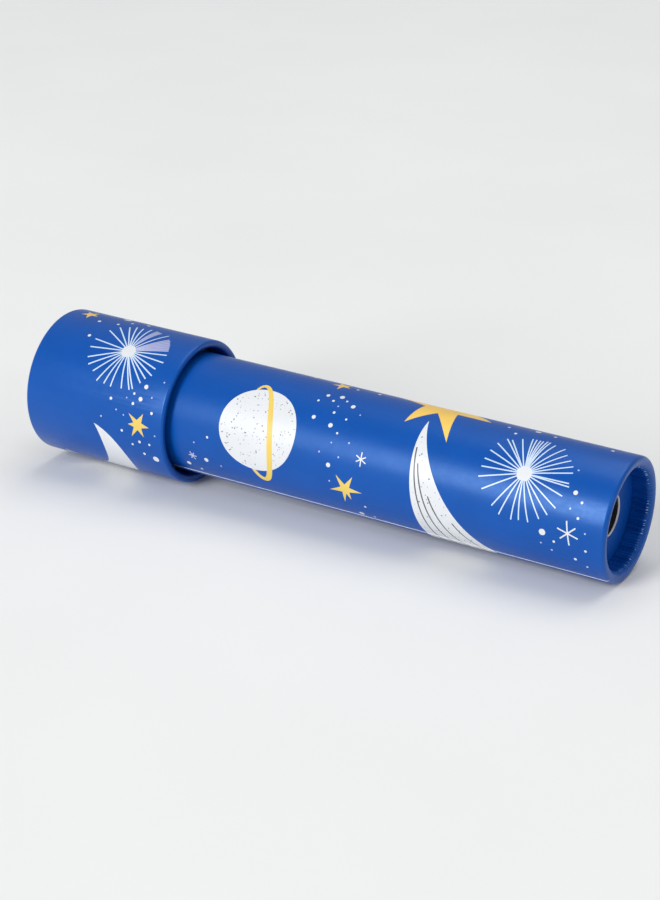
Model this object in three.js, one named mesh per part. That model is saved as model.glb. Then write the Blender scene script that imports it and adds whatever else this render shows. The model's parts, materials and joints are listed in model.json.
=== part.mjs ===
// A paper-tube kaleidoscope lying on a table: a long board tube with three mirrors inside, and a wider cap
// that turns on its far end and carries a cell of loose coloured pieces.
//
// Every piece is drawn about the kaleidoscope's own axis, as x and r: x = 0 is the cap's end face and x grows
// towards the eyepiece, and r is the distance from the axis. At the end of the file the whole assembly is laid
// down on the plane z = 0, where it rests on the cap's mouth and on the eyepiece rim. Millimetres, +Z up.
import * as THREE from "three";

// Driving dimensions
const LENGTH = 215.5;
const TUBE_RADIUS = 20.5;
const CAP_RADIUS = 25;
const CAP_LENGTH = 57;
const EYE_RECESS_RADIUS = 16.9;
const EYE_RECESS_DEPTH = 6.9;
const PEEP_RADIUS = 6.9;
const CAP_MOUTH_RADIUS = 22.5;
const CAP_END_OPENING = 21;

// Stock thicknesses
const PAPER = 0.3;
const CARD = 0.6;
const TUBE_BOARD = 1.8;
const FACING_CARD = 0.5;
const DISC_BOARD = 1.6;
const SHEET_PLASTIC = 1;
const MIRROR = 1.6;
const GLUE = 0.1;

// Rounded edges of the wrapped paper
const EYE_LIP = 1.3;
const MOUTH_LIP = 1.1;
const END_LIP = 1.2;
const LIP_STEPS = 1;

// Facets round the axis. Radii are measured to the flats, so a round piece of the same size fits inside.
const FACETS = 24;
const TO_CORNER = 1 / Math.cos(Math.PI / FACETS);

// Radii worked out from the outside inwards
const tubeBoardOuter = TUBE_RADIUS - PAPER - GLUE;
const tubeBore = tubeBoardOuter - TUBE_BOARD;
const inTube = tubeBore - GLUE;
const capBoardOuter = CAP_RADIUS - PAPER - GLUE;
const capBore = CAP_MOUTH_RADIUS + PAPER + GLUE;
const inCap = capBore - GLUE;
const cellRadius = CAP_END_OPENING + PAPER + GLUE;

// Stations along the axis, in the order of assembly from each end
const TURNED_IN = 10;
const CELL_DEPTH = 7;
const CAP_PLAY = 0.5;
const BUSH_LENGTH = 8;
const COLLAR_LENGTH = 9.5;
const STOP_RING_LENGTH = 3;
const SPACER_LENGTH = 3.8;
const diffuserStart = 4.3;
const cellStart = diffuserStart + SHEET_PLASTIC + GLUE;
const cellWindowStart = cellStart + CELL_DEPTH + GLUE;
const cellStopStart = cellWindowStart + SHEET_PLASTIC + GLUE;
const tubeStart = cellStopStart + STOP_RING_LENGTH + CAP_PLAY;
const frontWindowStart = tubeStart + STOP_RING_LENGTH + GLUE;
const maskStart = frontWindowStart + SHEET_PLASTIC + GLUE;
const mirrorStart = maskStart + CARD + GLUE;
const facingEnd = LENGTH - EYE_RECESS_DEPTH;
const eyeDiscEnd = facingEnd - FACING_CARD - GLUE;
const eyeWindowEnd = eyeDiscEnd - DISC_BOARD - GLUE;
const spacerEnd = eyeWindowEnd - SHEET_PLASTIC - GLUE;
const mirrorEnd = spacerEnd - SPACER_LENGTH - GLUE;
const bushEnd = CAP_LENGTH - TURNED_IN - GLUE;
const bushStart = bushEnd - BUSH_LENGTH;
const collarEnd = bushStart - CAP_PLAY;
const collarStart = collarEnd - COLLAR_LENGTH;

// The mirrors stand in an equilateral triangle
const MIRROR_INRADIUS = 8.1;
const MIRROR_CORNER_GAP = 0.2;
const SLEEVE_GAP = 0.15;
const MASK_COVER = 0.4;
const mirrorLength = mirrorEnd - mirrorStart;
const mirrorWidth = 2 * Math.sqrt(3) * MIRROR_INRADIUS - MIRROR_CORNER_GAP;
const mirrorBack = MIRROR_INRADIUS + MIRROR;
const MIRROR_NAMES = ["mirror_base", "mirror_left", "mirror_right"];

// Foam packers between the mirror sleeve and the tube
const PACKER_LENGTH = 24;
const PACKER_INSET = 4;
const PACKER_SQUEEZE = 0.15;
const PACKER_STEPS = 6;

// Loose pieces in the cell: two layers, each with three curved rows, as they lie when the axis is level
const FILL_LAYERS = [7.2, 10.7];
const FILL_ROWS = [
  { radius: 18.3, count: 5, spacing: 17.5 },
  { radius: 13.2, count: 4, spacing: 24.5 },
  { radius: 8.1, count: 3, spacing: 39 },
];

function finish(color, roughness, metalness = 0, opacity = 1) {
  return new THREE.MeshStandardMaterial({
    color,
    roughness,
    metalness,
    opacity,
    transparent: opacity < 1,
  });
}

const printedBlue = finish(0x1348a5, 0.55);
const greyboard = finish(0xa79781, 0.9);
const whiteboard = finish(0xe9e6df, 0.85);
const blackCard = finish(0x1b1b1d, 0.85);
const foam = finish(0x3a3d42, 0.95);
const clearPlastic = finish(0xf2f6f8, 0.05, 0, 0.3);
const frostedPlastic = finish(0xeef1f2, 0.6, 0, 0.75);
const mirrorGlass = finish(0xd8dde0, 0.03, 1);
const FILL_FINISHES = [
  finish(0xd8262e, 0.15),
  finish(0xf2b51d, 0.15),
  finish(0x1c8f4a, 0.15),
  finish(0x1d6fd0, 0.15),
  finish(0x7a35b5, 0.15),
  finish(0xe8539a, 0.15),
];

// A solid of revolution about the x axis. The outline holds (r, x) points and runs so that its faces point out.
function turned(outline) {
  const corners = outline.map((p) => new THREE.Vector2(p.x * TO_CORNER, p.y));
  return new THREE.LatheGeometry(corners, FACETS, Math.PI / FACETS).rotateZ(
    -Math.PI / 2,
  );
}

function ring(start, end, inner, outer) {
  return turned([
    new THREE.Vector2(inner, start),
    new THREE.Vector2(outer, start),
    new THREE.Vector2(outer, end),
    new THREE.Vector2(inner, end),
    new THREE.Vector2(inner, start),
  ]);
}

function disc(start, end, radius) {
  return turned([
    new THREE.Vector2(0, start),
    new THREE.Vector2(radius, start),
    new THREE.Vector2(radius, end),
    new THREE.Vector2(0, end),
  ]);
}

// A flat outline, pushed along x from start to end. An angle of 0 in the outline is straight up.
function extruded(outline, start, end, curveSegments = FACETS) {
  return new THREE.ExtrudeGeometry(outline, {
    depth: end - start,
    bevelEnabled: false,
    curveSegments,
  })
    .rotateY(-Math.PI / 2)
    .translate(end, 0, 0);
}

function outlinePoints(path) {
  const points = path.getPoints(LIP_STEPS);
  return [...points, points[0].clone()];
}

// One side of a paper sheet that runs along the outside, round a lip and back along the inside. facing is +1
// for a lip that looks towards the eyepiece and -1 for one that looks the other way, and depth is how far this
// side of the sheet lies under its printed face.
function lipPoints({ edge, outer, inner, lip, from, to }, facing, depth) {
  const centre = edge - facing * lip;
  const radius = lip - depth;
  const quarter = (Math.PI / 2) * facing;
  const path = new THREE.Path();
  path.moveTo(outer - depth, from);
  path.lineTo(outer - depth, centre);
  path.absarc(outer - lip, centre, radius, 0, quarter, facing < 0);
  path.absarc(inner + lip, centre, radius, quarter, 2 * quarter, facing < 0);
  path.lineTo(inner + depth, to);
  return path.getPoints(LIP_STEPS);
}

// Printed paper round the tube: plain at the cap's side, turned in over the eyepiece rim.
function tubeWrap() {
  const lip = {
    edge: LENGTH,
    outer: TUBE_RADIUS,
    inner: EYE_RECESS_RADIUS,
    lip: EYE_LIP,
    from: collarEnd + GLUE,
    to: facingEnd + GLUE,
  };
  const printed = lipPoints(lip, 1, 0);
  return turned([
    ...printed,
    ...lipPoints(lip, 1, PAPER).reverse(),
    printed[0].clone(),
  ]);
}

// Printed paper round the cap, turned in at the mouth and at the end.
function capWrap() {
  const mouth = {
    edge: CAP_LENGTH,
    outer: CAP_RADIUS,
    inner: CAP_MOUTH_RADIUS,
    lip: MOUTH_LIP,
    from: CAP_LENGTH / 2,
    to: CAP_LENGTH - TURNED_IN,
  };
  const end = {
    edge: 0,
    outer: CAP_RADIUS,
    inner: CAP_END_OPENING,
    lip: END_LIP,
    from: CAP_LENGTH / 2,
    to: diffuserStart - GLUE,
  };
  const side = (depth) => [
    ...lipPoints(end, -1, depth).reverse().slice(0, -1),
    ...lipPoints(mouth, 1, depth).slice(1),
  ];
  const printed = side(0);
  return turned([...printed, ...side(PAPER).reverse(), printed[0].clone()]);
}

// The board tube, its outer edge rounded to carry the paper round the eyepiece rim.
function mainTube() {
  const path = new THREE.Path();
  const radius = EYE_LIP - PAPER - GLUE;
  path.moveTo(tubeBore, tubeStart);
  path.lineTo(tubeBoardOuter, tubeStart);
  path.absarc(TUBE_RADIUS - EYE_LIP, LENGTH - EYE_LIP, radius, 0, Math.PI / 2);
  path.lineTo(tubeBore, LENGTH - PAPER - GLUE);
  return turned(outlinePoints(path));
}

// A board ring inside the rim that holds the eyepiece disc back. Its inner edge is chamfered under the paper.
function eyepieceRing() {
  const inner = EYE_RECESS_RADIUS + PAPER + GLUE;
  const start = facingEnd + GLUE;
  const chamferEnd = LENGTH - PAPER - 2 * GLUE;
  const chamferStart = LENGTH - EYE_LIP;
  return turned([
    new THREE.Vector2(inner, start),
    new THREE.Vector2(inTube, start),
    new THREE.Vector2(inTube, chamferEnd),
    new THREE.Vector2(inner, chamferStart),
    new THREE.Vector2(inner, start),
  ]);
}

// The cap's board tube, with both outer edges rounded.
function capTube() {
  const path = new THREE.Path();
  const mouthRadius = MOUTH_LIP - PAPER - GLUE;
  const endRadius = END_LIP - PAPER - GLUE;
  path.moveTo(capBore, PAPER + GLUE);
  path.lineTo(CAP_RADIUS - END_LIP, PAPER + GLUE);
  path.absarc(CAP_RADIUS - END_LIP, END_LIP, endRadius, -Math.PI / 2, 0);
  path.absarc(
    CAP_RADIUS - MOUTH_LIP,
    CAP_LENGTH - MOUTH_LIP,
    mouthRadius,
    0,
    Math.PI / 2,
  );
  path.absarc(
    CAP_MOUTH_RADIUS + MOUTH_LIP,
    CAP_LENGTH - MOUTH_LIP,
    mouthRadius,
    Math.PI / 2,
    Math.PI,
  );
  return turned(outlinePoints(path));
}

// A board ring inside the cap's end that keeps the diffuser in. Its inner edge is chamfered under the paper.
function endRing() {
  const start = PAPER + GLUE;
  const end = diffuserStart - GLUE;
  return turned([
    new THREE.Vector2(cellRadius, END_LIP),
    new THREE.Vector2(CAP_END_OPENING + END_LIP, start),
    new THREE.Vector2(inCap, start),
    new THREE.Vector2(inCap, end),
    new THREE.Vector2(cellRadius, end),
    new THREE.Vector2(cellRadius, END_LIP),
  ]);
}

// A hexagon round the mirror triangle: long sides on the mirrors' backs, short ones across the corners.
function sleeveOutline(offset) {
  const long = mirrorBack + offset;
  const back = new THREE.Vector2(mirrorBack, mirrorWidth / 2);
  const short = back.rotateAround(new THREE.Vector2(), -Math.PI / 3).x + offset;
  const half = (long - short * Math.cos(Math.PI / 3)) / Math.sin(Math.PI / 3);
  const points = [];
  for (let corner = 0; corner < 3; corner += 1) {
    const angle = ((2 * corner) / 3) * Math.PI;
    for (const side of [-half, half]) {
      const point = new THREE.Vector2(short, side);
      points.push(point.rotateAround(new THREE.Vector2(), angle));
    }
  }
  return points;
}

function mirrorSleeve() {
  const outline = new THREE.Shape(sleeveOutline(SLEEVE_GAP + CARD));
  outline.holes.push(new THREE.Path(sleeveOutline(SLEEVE_GAP)));
  return extruded(outline, mirrorStart, mirrorEnd);
}

function frontMask() {
  const outline = new THREE.Shape();
  outline.absarc(0, 0, inTube, 0, 2 * Math.PI);
  const window = [0, 1, 2].map((corner) => {
    const angle = ((2 * corner) / 3) * Math.PI;
    const reach = 2 * (MIRROR_INRADIUS - MASK_COVER);
    return new THREE.Vector2(reach, 0).rotateAround(new THREE.Vector2(), angle);
  });
  outline.holes.push(new THREE.Path(window));
  return extruded(outline, maskStart, maskStart + CARD);
}

// A strip of foam with a flat side on the sleeve and a round side on the tube, standing under the axis.
function packer(start) {
  const flat = mirrorBack + SLEEVE_GAP + CARD + PACKER_SQUEEZE;
  const round = inTube;
  const half = Math.acos(flat / round);
  const outline = new THREE.Shape();
  outline.absarc(0, 0, round, Math.PI - half, Math.PI + half);
  return extruded(outline, start, start + PACKER_LENGTH, PACKER_STEPS);
}

function mirrorStrip() {
  return new THREE.BoxGeometry(mirrorLength, mirrorWidth, MIRROR).translate(
    (mirrorStart + mirrorEnd) / 2,
    0,
    -(MIRROR_INRADIUS + MIRROR / 2),
  );
}

// Small pieces of the fill, each about its own centre and no wider than 4.8 mm.
function starSequin() {
  const points = [];
  for (let tip = 0; tip < 10; tip += 1) {
    const radius = tip % 2 ? 1.1 : 2.4;
    points.push(
      new THREE.Vector2(radius, 0).rotateAround(
        new THREE.Vector2(),
        (tip * Math.PI) / 5,
      ),
    );
  }
  return extruded(new THREE.Shape(points), -0.35, 0.35);
}

const FILL_KINDS = {
  bead: () => new THREE.IcosahedronGeometry(1.7, 1),
  crystal: () => new THREE.OctahedronGeometry(2).scale(0.8, 1.15, 1.15),
  star: starSequin,
  bugle: () => new THREE.CylinderGeometry(1, 1, 4.4, 8),
  chip: () => new THREE.CylinderGeometry(2.3, 2.3, 0.8, 3).rotateZ(Math.PI / 2),
  hoop: () => new THREE.TorusGeometry(1.7, 0.55, 5, 10).rotateY(Math.PI / 2),
  sequin: () => new THREE.CylinderGeometry(2.2, 2.2, 0.6, 6).rotateZ(Math.PI / 2),
};

function addPiece(parent, name, geometry, material) {
  const mesh = new THREE.Mesh(geometry, material);
  mesh.name = name;
  parent.add(mesh);
  return mesh;
}

function tubeAssembly() {
  const tube = new THREE.Group();
  const rearPacker = mirrorEnd - PACKER_INSET - PACKER_LENGTH;
  addPiece(tube, "main_tube", mainTube(), greyboard);
  addPiece(tube, "tube_wrap", tubeWrap(), printedBlue);
  addPiece(tube, "tube_collar", ring(collarStart, collarEnd, TUBE_RADIUS - PAPER, 22.4), greyboard);
  addPiece(tube, "eyepiece_ring", eyepieceRing(), greyboard);
  addPiece(tube, "eyepiece_facing", ring(facingEnd - FACING_CARD, facingEnd, PEEP_RADIUS, inTube), printedBlue);
  addPiece(tube, "eyepiece_disc", ring(eyeDiscEnd - DISC_BOARD, eyeDiscEnd, PEEP_RADIUS, inTube), blackCard);
  addPiece(tube, "eyepiece_window", disc(eyeWindowEnd - SHEET_PLASTIC, eyeWindowEnd, inTube), clearPlastic);
  addPiece(tube, "rear_spacer_ring", ring(spacerEnd - SPACER_LENGTH, spacerEnd, 16.4, inTube), greyboard);
  addPiece(tube, "front_stop_ring", ring(tubeStart, tubeStart + STOP_RING_LENGTH, 16.4, inTube), greyboard);
  addPiece(tube, "front_window", disc(frontWindowStart, frontWindowStart + SHEET_PLASTIC, inTube), clearPlastic);
  addPiece(tube, "front_mask", frontMask(), blackCard);
  addPiece(tube, "mirror_sleeve", mirrorSleeve(), blackCard);
  MIRROR_NAMES.forEach((name, side) => {
    const angle = ((2 * side) / 3) * Math.PI;
    addPiece(tube, name, mirrorStrip(), mirrorGlass).rotation.x = angle;
    addPiece(tube, `front_packer_${side + 1}`, packer(mirrorStart + PACKER_INSET), foam).rotation.x = angle;
    addPiece(tube, `rear_packer_${side + 1}`, packer(rearPacker), foam).rotation.x = angle;
  });
  return tube;
}

function capAssembly() {
  const cap = new THREE.Group();
  addPiece(cap, "cap_tube", capTube(), greyboard);
  addPiece(cap, "cap_wrap", capWrap(), printedBlue);
  addPiece(cap, "end_ring", endRing(), greyboard);
  addPiece(cap, "diffuser", disc(diffuserStart, diffuserStart + SHEET_PLASTIC, inCap), frostedPlastic);
  addPiece(cap, "cell_ring", ring(cellStart, cellStart + CELL_DEPTH, cellRadius, inCap), whiteboard);
  addPiece(cap, "cell_window", disc(cellWindowStart, cellWindowStart + SHEET_PLASTIC, inCap), clearPlastic);
  addPiece(cap, "cell_stop_ring", ring(cellStopStart, cellStopStart + STOP_RING_LENGTH, 20.6, inCap), greyboard);
  addPiece(cap, "cap_bush", ring(bushStart, bushEnd, TUBE_RADIUS + 0.4, inCap), greyboard);
  return cap;
}

// The pieces lie in rows along the bottom of the cell, each row fanned out about straight down.
function looseFill() {
  const fill = new THREE.Group();
  const kinds = Object.keys(FILL_KINDS);
  const used = {};
  let placed = 0;
  for (const layer of FILL_LAYERS) {
    for (const { radius, count, spacing } of FILL_ROWS) {
      for (let place = 0; place < count; place += 1) {
        const kind = kinds[placed % kinds.length];
        used[kind] = (used[kind] || 0) + 1;
        const piece = addPiece(
          fill,
          `${kind}_${used[kind]}`,
          FILL_KINDS[kind](),
          FILL_FINISHES[placed % FILL_FINISHES.length],
        );
        const fan = THREE.MathUtils.degToRad((place - (count - 1) / 2) * spacing);
        piece.position.set(layer, radius * Math.sin(fan), -radius * Math.cos(fan));
        piece.rotation.x = fan + placed;
        placed += 1;
      }
    }
  }
  return fill;
}

// Lays the assembly down: the axis slopes by the tilt that puts the cap's mouth and the eyepiece rim on z = 0,
// and the origin is under the middle of the object's length.
function layDown(assembly) {
  const rimToMouth = LENGTH - EYE_LIP - (CAP_LENGTH - MOUTH_LIP);
  const tilt = Math.atan((CAP_RADIUS - TUBE_RADIUS) / rimToMouth);
  assembly.rotation.y = tilt;
  assembly.updateMatrixWorld(true);
  const box = new THREE.Box3().setFromObject(assembly, true);
  assembly.position.set(-(box.min.x + box.max.x) / 2, 0, -box.min.z);
}

const assembly = new THREE.Group();
assembly.add(tubeAssembly(), capAssembly(), looseFill());
layDown(assembly);

const kaleidoscope = new THREE.Group();
kaleidoscope.add(assembly);

export default kaleidoscope;
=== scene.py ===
"""The looks of a paper-tube kaleidoscope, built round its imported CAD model.

Tube space is used throughout: x is the station along the kaleidoscope's axis, 0 at the cap's end and growing
towards the eyepiece, and z is up across the axis, all in millimetres. TO_ROW takes it to the row frame.
A clock angle runs round the axis in degrees, from 0 straight up towards 90 on the side that the camera sees.
"""
import json
import math
import random

import bmesh
import bpy
from mathutils import Matrix, Vector, geometry


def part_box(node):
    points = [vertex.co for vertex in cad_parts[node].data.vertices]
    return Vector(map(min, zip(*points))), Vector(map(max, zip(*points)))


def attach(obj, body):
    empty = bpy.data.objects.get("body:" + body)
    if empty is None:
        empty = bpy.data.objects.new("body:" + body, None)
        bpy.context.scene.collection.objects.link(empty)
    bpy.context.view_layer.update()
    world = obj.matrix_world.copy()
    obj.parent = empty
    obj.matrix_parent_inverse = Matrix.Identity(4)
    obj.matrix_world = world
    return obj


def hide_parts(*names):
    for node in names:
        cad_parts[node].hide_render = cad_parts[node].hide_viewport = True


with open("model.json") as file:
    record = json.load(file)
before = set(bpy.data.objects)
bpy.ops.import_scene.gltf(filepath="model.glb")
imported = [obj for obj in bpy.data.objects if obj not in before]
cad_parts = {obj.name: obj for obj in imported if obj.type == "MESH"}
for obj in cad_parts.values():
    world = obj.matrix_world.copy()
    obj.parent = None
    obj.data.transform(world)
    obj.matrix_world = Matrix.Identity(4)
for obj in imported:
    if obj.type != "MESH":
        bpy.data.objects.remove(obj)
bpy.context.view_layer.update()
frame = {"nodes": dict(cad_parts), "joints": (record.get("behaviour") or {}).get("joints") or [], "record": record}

MM = 0.001
# Flats round a CAD piece, and columns round the printed papers and round the smooth boards and windows
CAD_FLATS = 24
COLUMNS = 720
TURNED_COLUMNS = 180

# ---------------------------------------------------------------- the frame's own sizes

TO_FLAT = math.cos(math.pi / CAD_FLATS)
turn = next(j for j in frame["joints"] if j["name"] == "cap_turn")
AXIS = Vector(turn["axis"]).normalized()
PIVOT = Vector(turn["pos_m"])
ACROSS_UP = (Vector((0, 0, 1)) - AXIS * AXIS.z).normalized()
ACROSS_SIDE = ACROSS_UP.cross(AXIS)


def along_axis(node):
    """Stations of a CAD node's corners, counted from the turning joint, and their distances from the axis,
    in millimetres."""
    places = [v.co - PIVOT for v in frame["nodes"][node].data.vertices]
    stations = [p.dot(AXIS) for p in places]
    radii = [(p - AXIS * s).length for p, s in zip(places, stations)]
    return [s / MM for s in stations], [r / MM for r in radii]


CAP_END = min(along_axis("cap_wrap")[0])


def span(node):
    """First station, last station, inner radius and outer radius of a round CAD node, to its flats."""
    stations, radii = along_axis(node)
    return min(stations) - CAP_END, max(stations) - CAP_END, min(radii) * TO_FLAT, max(radii) * TO_FLAT


ORIGIN = PIVOT + AXIS * CAP_END * MM
TO_ROW = Matrix.Translation(ORIGIN) @ Matrix((AXIS, ACROSS_SIDE, ACROSS_UP)).transposed().to_4x4()
TO_ROW = TO_ROW @ Matrix.Scale(MM, 4)

WRAP_START, LENGTH, RECESS_RADIUS, TUBE_RADIUS = span("tube_wrap")
_, CAP_LENGTH, CAP_OPENING, CAP_RADIUS = span("cap_wrap")

# Sizes of the finished paper that the CAD's few facets only hint at: its thickness, the radius of each lip
# and of the softer bend inside it, the mouth's inner radius, and how far the paper is turned in there
PAPER = 0.3
EYE_LIP, EYE_BEND = 1.3, 2.1
MOUTH_LIP, MOUTH_BEND = 1.1, 1.3
END_LIP, END_BEND = 1.2, 1.9
MOUTH_RADIUS = 22.5
TURNED_IN = 10
LIP_STEPS = 6
# The gap that glue fills between a turned-in end and the piece it stops at
GLUE = 0.1
# Clock angles of the papers' lapped seams
TUBE_SEAM = 139
CAP_SEAM = 196

# ---------------------------------------------------------------- camera, floor and light

CAMERA_AZIMUTH = math.radians(30.39)
CAMERA_ELEVATION = math.radians(22.58)
CAMERA_LENS = 86.64
# Where the point on the axis at station 215 lies from the camera: to the right, down and ahead
AIM_STATION = 215
AIM_FROM_CAMERA = Vector((92.8, 21.8, 670.8)) * MM
# How far off the lamps and the floor's edges are, in metres
LAMP_DISTANCE = 4.0
FLOOR_HALF = 4.0
# How bright the room is as a light, and to the camera
ROOM_LIGHT, BACKDROP = 0.4, 0.76


def towards(azimuth, elevation):
    """The unit vector that points at an azimuth round from the front and an elevation."""
    level = math.cos(elevation)
    return Vector((math.sin(azimuth) * level, -math.cos(azimuth) * level, math.sin(elevation)))


def camera():
    back = towards(CAMERA_AZIMUTH, CAMERA_ELEVATION)
    right = Vector((math.cos(CAMERA_AZIMUTH), math.sin(CAMERA_AZIMUTH), 0))
    up = back.cross(right)
    aim = TO_ROW @ Vector((AIM_STATION, 0, 0))
    place = aim - right * AIM_FROM_CAMERA.x + up * AIM_FROM_CAMERA.y + back * AIM_FROM_CAMERA.z
    data = bpy.data.cameras.new("camera")
    data.lens = CAMERA_LENS
    data.sensor_width = 36
    data.clip_start = 0.01
    eye = bpy.data.objects.new("camera", data)
    eye.matrix_world = Matrix.Translation(place) @ Matrix((right, up, back)).transposed().to_4x4()
    bpy.context.scene.collection.objects.link(eye)
    bpy.context.scene.camera = eye


def softbox(name, azimuth, elevation, size, radiance):
    """A rectangular lamp that looks at the origin. At a radiance of 1 it is as bright as a lit white wall."""
    data = bpy.data.lights.new(name, "AREA")
    data.shape = "RECTANGLE"
    data.size, data.size_y = size
    data.energy = math.pi * size[0] * size[1] * radiance
    lamp = bpy.data.objects.new(name, data)
    way = towards(math.radians(azimuth), math.radians(elevation))
    lamp.location = way * LAMP_DISTANCE
    lamp.rotation_euler = way.to_track_quat("Z", "Y").to_euler()
    bpy.context.scene.collection.objects.link(lamp)


def studio():
    world = bpy.data.worlds.new("pale room")
    bpy.context.scene.world = world
    world.use_nodes = True
    tree = world.node_tree
    sky = tree.nodes["Background"]
    sky.inputs["Color"].default_value = (0.97, 0.985, 1.0, 1)
    # the room lights the object softly, and the wall behind it is as pale as the floor
    seen = tree.nodes.new("ShaderNodeLightPath")
    strength = tree.nodes.new("ShaderNodeMapRange")
    strength.inputs["To Min"].default_value = ROOM_LIGHT
    strength.inputs["To Max"].default_value = BACKDROP
    tree.links.new(seen.outputs["Is Camera Ray"], strength.inputs["Value"])
    tree.links.new(strength.outputs["Result"], sky.inputs["Strength"])
    softbox("window", azimuth=-14, elevation=25, size=(1.2, 2.1), radiance=15.2)
    softbox("ceiling", azimuth=165, elevation=70, size=(3.2, 3.2), radiance=1.95)
    softbox("side window", azimuth=66, elevation=28, size=(0.6, 0.6), radiance=10.0)
    bpy.context.scene.view_settings.view_transform = "Standard"


def floor():
    mesh = bpy.data.meshes.new("floor")
    corners = [(x * FLOOR_HALF, y * FLOOR_HALF, 0) for x, y in ((-1, -1), (1, -1), (1, 1), (-1, 1))]
    mesh.from_pydata(corners, [], [(0, 1, 2, 3)])
    plane = bpy.data.objects.new("floor", mesh)
    bpy.context.scene.collection.objects.link(plane)
    paint = surface("floor_paint", (0.845, 0.85, 0.845), drift=0.97, blotch=6, rough=(0.75, 0.9))
    mesh.materials.append(paint)


# ---------------------------------------------------------------- materials


def node(tree, kind, **settings):
    """A new node. Settings name its properties, or its inputs where it has no such property."""
    made = tree.nodes.new(kind)
    for key, value in settings.items():
        if key in made.inputs:
            made.inputs[key].default_value = value
        else:
            setattr(made, key, value)
    return made


def noise(tree, place, scale):
    made = node(tree, "ShaderNodeTexNoise", Scale=scale, Detail=3.0)
    tree.links.new(place.outputs["Object"], made.inputs["Vector"])
    return made.outputs["Fac"]


def surface(
    name, colour, drift=0.9, blotch=90, rough=(0.35, 0.45), grain=2600, depth=0.0, waves=0.0, wave_scale=70,
    **inputs,
):
    """A procedural material. Its colour drifts in blotches between drift times colour and colour, and its
    roughness runs over rough. grain and wave_scale are the scales per metre of a fine bump and of a slow
    unevenness, and depth and waves are their heights in millimetres. Other settings go to the shader."""
    made = bpy.data.materials.new(f"{name}_look")
    made.use_nodes = True
    tree = made.node_tree
    shader = tree.nodes["Principled BSDF"]
    place = node(tree, "ShaderNodeTexCoord")
    patches = noise(tree, place, blotch)

    mix = node(tree, "ShaderNodeMix", data_type="RGBA")
    mix.inputs[6].default_value = (*(c * drift for c in colour), 1)
    mix.inputs[7].default_value = (*colour, 1)
    share = node(tree, "ShaderNodeMapRange")
    share.inputs["From Min"].default_value = 0.35
    share.inputs["From Max"].default_value = 0.65
    tree.links.new(patches, share.inputs["Value"])
    tree.links.new(share.outputs["Result"], mix.inputs[0])
    tree.links.new(mix.outputs[2], shader.inputs["Base Color"])

    dull = node(tree, "ShaderNodeMapRange")
    dull.inputs["From Min"].default_value = 0.3
    dull.inputs["From Max"].default_value = 0.7
    dull.inputs["To Min"].default_value, dull.inputs["To Max"].default_value = rough
    tree.links.new(noise(tree, place, grain / 3), dull.inputs["Value"])
    tree.links.new(dull.outputs["Result"], shader.inputs["Roughness"])

    height = None
    for scale, tall in ((wave_scale, waves), (grain, depth)):
        if tall:
            bump = node(tree, "ShaderNodeBump", Distance=tall * MM, Strength=1.0)
            tree.links.new(noise(tree, place, scale), bump.inputs["Height"])
            if height:
                tree.links.new(height, bump.inputs["Normal"])
            height = bump.outputs["Normal"]
    if height:
        tree.links.new(height, shader.inputs["Normal"])
    for key, value in inputs.items():
        shader.inputs[key.replace("_", " ")].default_value = value
    return made


# Printed paper under a matt film: the film's grain and gloss are the same over every ink
FILM = {
    "rough": (0.31, 0.37), "grain": 1900, "depth": 0.014, "waves": 0.08, "wave_scale": 120, "IOR": 1.45,
    "Specular_IOR_Level": 0.72,
}
INKS = {
    "blue": {"colour": (0.0004, 0.069, 0.352), "drift": 0.93, "Specular_Tint": (0.36, 0.6, 1.0, 1)},
    "white": {"colour": (0.68, 0.70, 0.725), "drift": 0.97},
    "ray": {"colour": (0.55, 0.67, 0.82), "drift": 0.97},
    "yellow": {"colour": (0.76, 0.55, 0.11), "drift": 0.93},
    "gold": {"colour": (0.90, 0.58, 0.105), "drift": 0.93},
    "pale": {"colour": (0.45, 0.49, 0.72), "drift": 0.92},
    "haze": {"colour": (0.27, 0.30, 0.56), "drift": 0.92},
    "faint": {"colour": (0.10, 0.25, 0.68), "drift": 0.9},
    "speck": {"colour": (0.21, 0.22, 0.27), "drift": 0.45, "blotch": 700},
    "stripe": {"colour": (0.08, 0.085, 0.10), "drift": 0.8},
}
INK_ORDER = list(INKS)


def ink_materials():
    return [surface(f"ink_{ink}", **FILM, **look) for ink, look in INKS.items()]


MATERIALS = {}


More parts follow.
